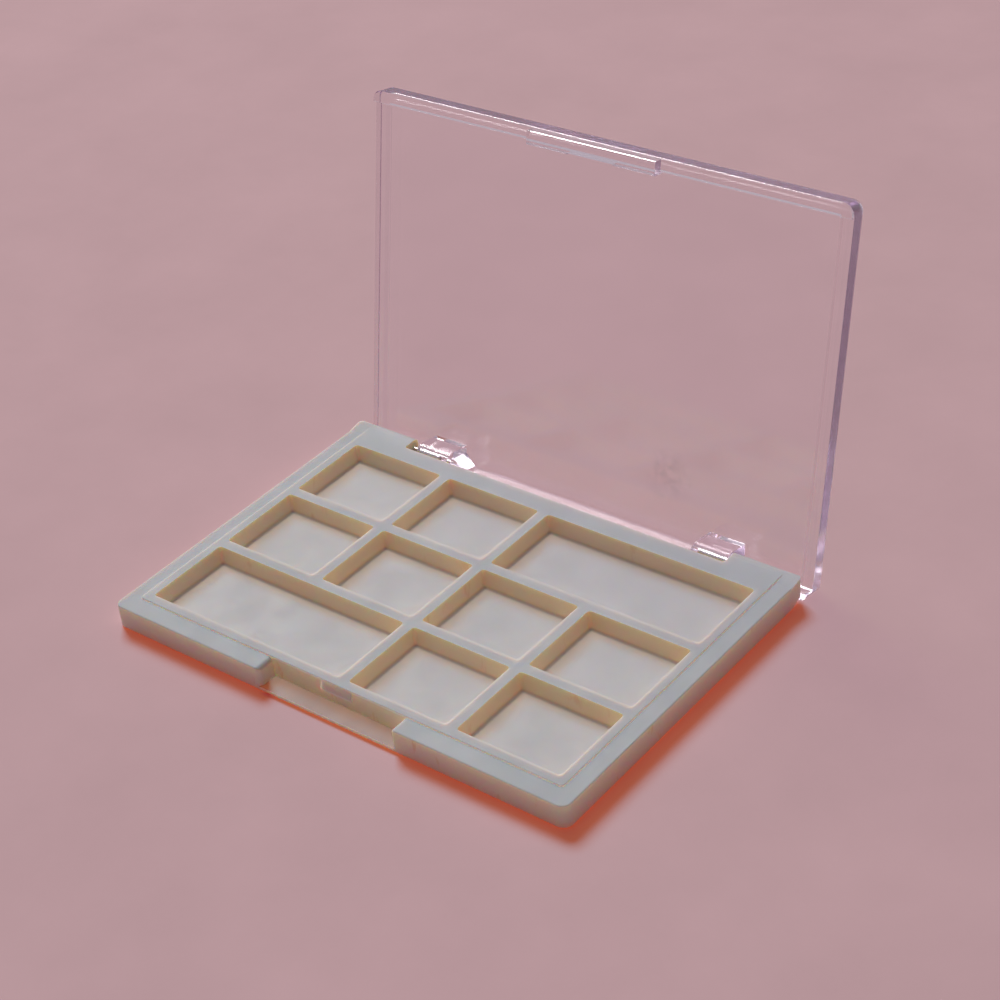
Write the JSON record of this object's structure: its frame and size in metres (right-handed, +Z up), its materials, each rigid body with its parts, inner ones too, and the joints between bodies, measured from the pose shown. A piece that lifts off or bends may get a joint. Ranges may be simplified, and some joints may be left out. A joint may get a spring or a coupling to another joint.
{
  "type": "hinged mixing palette",
  "caption": "Flat hinged palette with a divided tray of square and double-width wells under a clear snap-shut lid.",
  "frame": {"origin": "middle of the tray's flat underside", "axes": "+X to the right along the front edge, +Y towards the hinge, +Z up"},
  "size_m": [0.1049, 0.0907, 0.0728],
  "materials": {
    "ivory_plastic": "satin, slightly translucent",
    "clear_plastic": "polished clear polystyrene",
    "pin_steel": "plain drawn wire"
  },
  "bodies": {
    "base": {"tray": "ivory_plastic", "hinge_pin_left": "pin_steel", "hinge_pin_right": "pin_steel"},
    "lid": {"lid": "clear_plastic"}
  },
  "joints": [
    {"name": "lid_hinge", "type": "hinge", "parent": "base", "child": "lid", "pos_m": [0, 0.0351, 0.00325], "axis": [1, 0, 0], "range_deg": [0, 101]}
  ]
}
